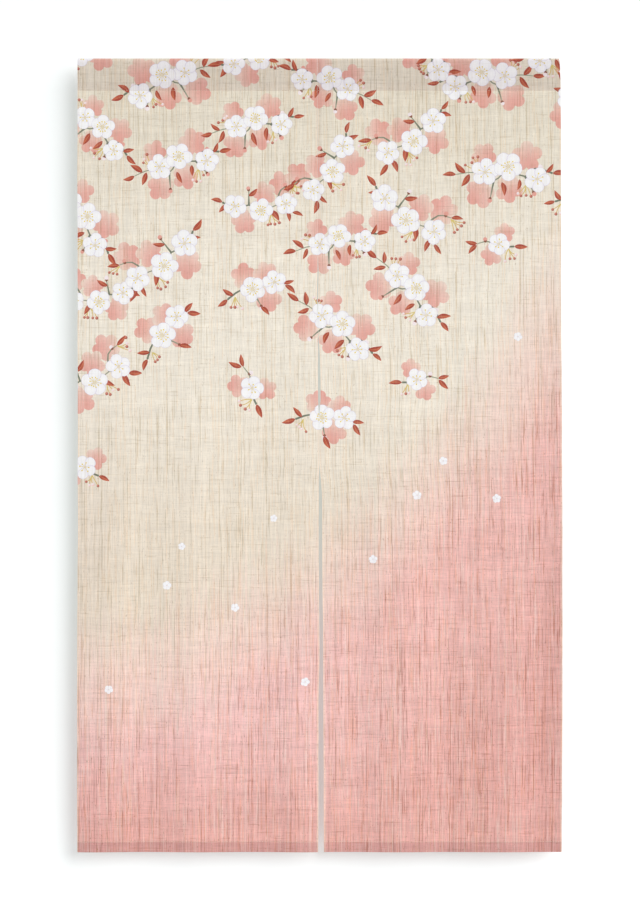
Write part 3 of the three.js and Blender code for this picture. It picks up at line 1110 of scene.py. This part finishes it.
def seamEdge(material):
    # both selvedges of the middle seam, pressed flat behind the right width
    inner = -cloth["thickness"] / 2 - seam["clear"]
    outer = inner - 2 * cloth["thickness"]
    rows, (waver, waverLength), (above, below) = seam["rows"], seam["waver"], seam["ends"]
    places, faces, flat = [], [], []
    for i in range(rows + 1):
        down = mix(heading["depth"] + above, seam["end"] - below, i / rows)
        wide = seam["allowance"] + waver * noise.noise(Vector((3.0, down / waverLength, 7.0)))
        for across, off in ((0.0, inner), (wide, inner), (wide, outer), (0.0, outer)):
            places.append(hung("right", across, down, off))
            flat.append((across, down + seam["cutFrom"], 1.0))
    for i in range(rows):
        for k in range(4):
            a, b = 4 * i + k, 4 * i + (k + 1) % 4
            faces.append((a, b, b + 4, a + 4))
    faces += [(3, 2, 1, 0), (4 * rows, 4 * rows + 1, 4 * rows + 2, 4 * rows + 3)]
    piece = addPiece("noren_seam_edge", places, faces, material)
    setAttribute(piece, "flatPlace", "FLOAT_VECTOR", "POINT", flat)
    setAttribute(piece, "paint", "FLOAT_COLOR", "POINT", [unpainted] * len(places))
    piece.data.set_sharp_from_angle(angle=math.radians(40))
    return piece


hempCloth = slubbyHemp()
thread = sewingThread()
print("materials made")
clothPieces = {half: makeCloth(f"noren_cloth_{half}", half, hempCloth) for half in ("left", "right")}
headingRows = crossings(-heading["depth"] + heading["stitchRise"])[1:]
hemRows = crossings(hem["depth"] - hem["stitchDrop"] - cloth["drop"])[:2]
for half, piece in clothPieces.items():
    sewn = [stitchRow(f"heading_stitches_{half}", half, headingRows, thread),
            stitchRow(f"hem_stitches_{half}", half, hemRows, thread)]
    if half == "right":
        sewn.append(seamEdge(hempCloth))
    for part in [piece] + sewn:
        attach(part, "root")
    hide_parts(f"heading_{half}", f"panel_{half}")
    print(half, "width sewn with", len(sewn), "pieces")


# Studio: a pale floor well below the hem, a pale wall just behind the cloth, and one large
# soft lamp up to the right, far enough away to light the whole drop evenly. The wall glows a
# little, as it would from light that comes through thin cloth
studio = {
    "wallBehind": 0.038, "wallSize": 2.6, "wallTop": 0.8, "floorDrop": 1.9, "floorSize": 6.0,
    "wallGlow": 0.28, "glowColour": "#f1ffff", "wallColour": "#ededed", "wallRough": 0.9,
    "floorColour": "#f0f0f0", "floorRough": 0.8,
    "keyStrength": 2.12, "keySpread": 48.0,   # degrees of sky that the lamp fills
    "keyFrom": (0.85, -1.0, 0.72),
    "sky": 0.405,          # even light from all round
}


def plane(name, corners, material):
    data = bpy.data.meshes.new(name)
    data.from_pydata([Vector(c) for c in corners], [], [(0, 1, 2, 3)])
    data.materials.append(material)
    obj = bpy.data.objects.new(name, data)
    bpy.context.collection.objects.link(obj)
    return obj


def mattPaint(name):
    material, tree, shader = newMaterial(f"pale{name.capitalize()}Paint")
    feed(tree, shader, {"Base Color": hexColour(studio[f"{name}Colour"]),
                        "Roughness": studio[f"{name}Rough"]})
    return material


def wallPaint():
    # matt paint, seen only from the room, so the back of the cloth can be looked at too
    material = mattPaint("wall")
    tree = material.node_tree
    shader = tree.nodes["Principled BSDF"]
    feed(tree, shader, {"Emission Color": hexColour(studio["glowColour"]),
                        "Emission Strength": studio["wallGlow"]})
    clear = addNode(tree, "ShaderNodeBsdfTransparent")
    back = addNode(tree, "ShaderNodeNewGeometry").node.outputs["Backfacing"]
    both = addNode(tree, "shaders", back, shader.outputs[0], clear)
    feed(tree, tree.nodes["Material Output"], {0: both})
    return material


wide, y = studio["wallSize"] / 2, studio["wallBehind"]
floorZ = -studio["floorDrop"]
top, far = studio["wallTop"], studio["floorSize"] / 2
plane("studio_wall", [(-wide, y, floorZ), (wide, y, floorZ), (wide, y, top), (-wide, y, top)], wallPaint())
plane("studio_floor", [(-far, -far, floorZ), (far, -far, floorZ), (far, far, floorZ), (-far, far, floorZ)],
      mattPaint("floor"))

world = bpy.data.worlds.new("studioSky")
world.use_nodes = True
world.node_tree.nodes["Background"].inputs[0].default_value = (1, 1, 1, 1)
world.node_tree.nodes["Background"].inputs[1].default_value = studio["sky"]
bpy.context.scene.world = world
keyData = bpy.data.lights.new("studio_key", "SUN")
keyData.energy = studio["keyStrength"]
keyData.angle = math.radians(studio["keySpread"])
key = bpy.data.objects.new("studio_key", keyData)
key.location = studio["keyFrom"]
key.rotation_euler = (-Vector(studio["keyFrom"])).to_track_quat("-Z", "Y").to_euler()
bpy.context.collection.objects.link(key)
bpy.context.scene.view_settings.view_transform = "Standard"
print("studio set")

# The photograph looks square on at the cloth, whose 880 mm take up 483.4 of its 640 pixels
photo = {"width": 640, "height": 900, "clothPixels": 483.4, "centreX": 319.5, "topY": 58.5,
         "distance": 6.0, "sensor": 36.0}
metresPerPixel = 2 * cloth["loomWidth"] * mm / photo["clothPixels"]
cameraData = bpy.data.cameras.new("photo_camera")
cameraData.sensor_width = photo["sensor"]
cameraData.sensor_fit = "VERTICAL"
cameraData.sensor_height = photo["sensor"]
cameraData.lens = photo["sensor"] * photo["distance"] / (photo["height"] * metresPerPixel)
camera = bpy.data.objects.new("photo_camera", cameraData)
camera.location = ((photo["width"] / 2 - photo["centreX"]) * metresPerPixel, -photo["distance"],
                   (photo["topY"] - photo["height"] / 2) * metresPerPixel)
camera.rotation_euler = (math.pi / 2, 0, 0)
bpy.context.collection.objects.link(camera)
bpy.context.scene.camera = camera
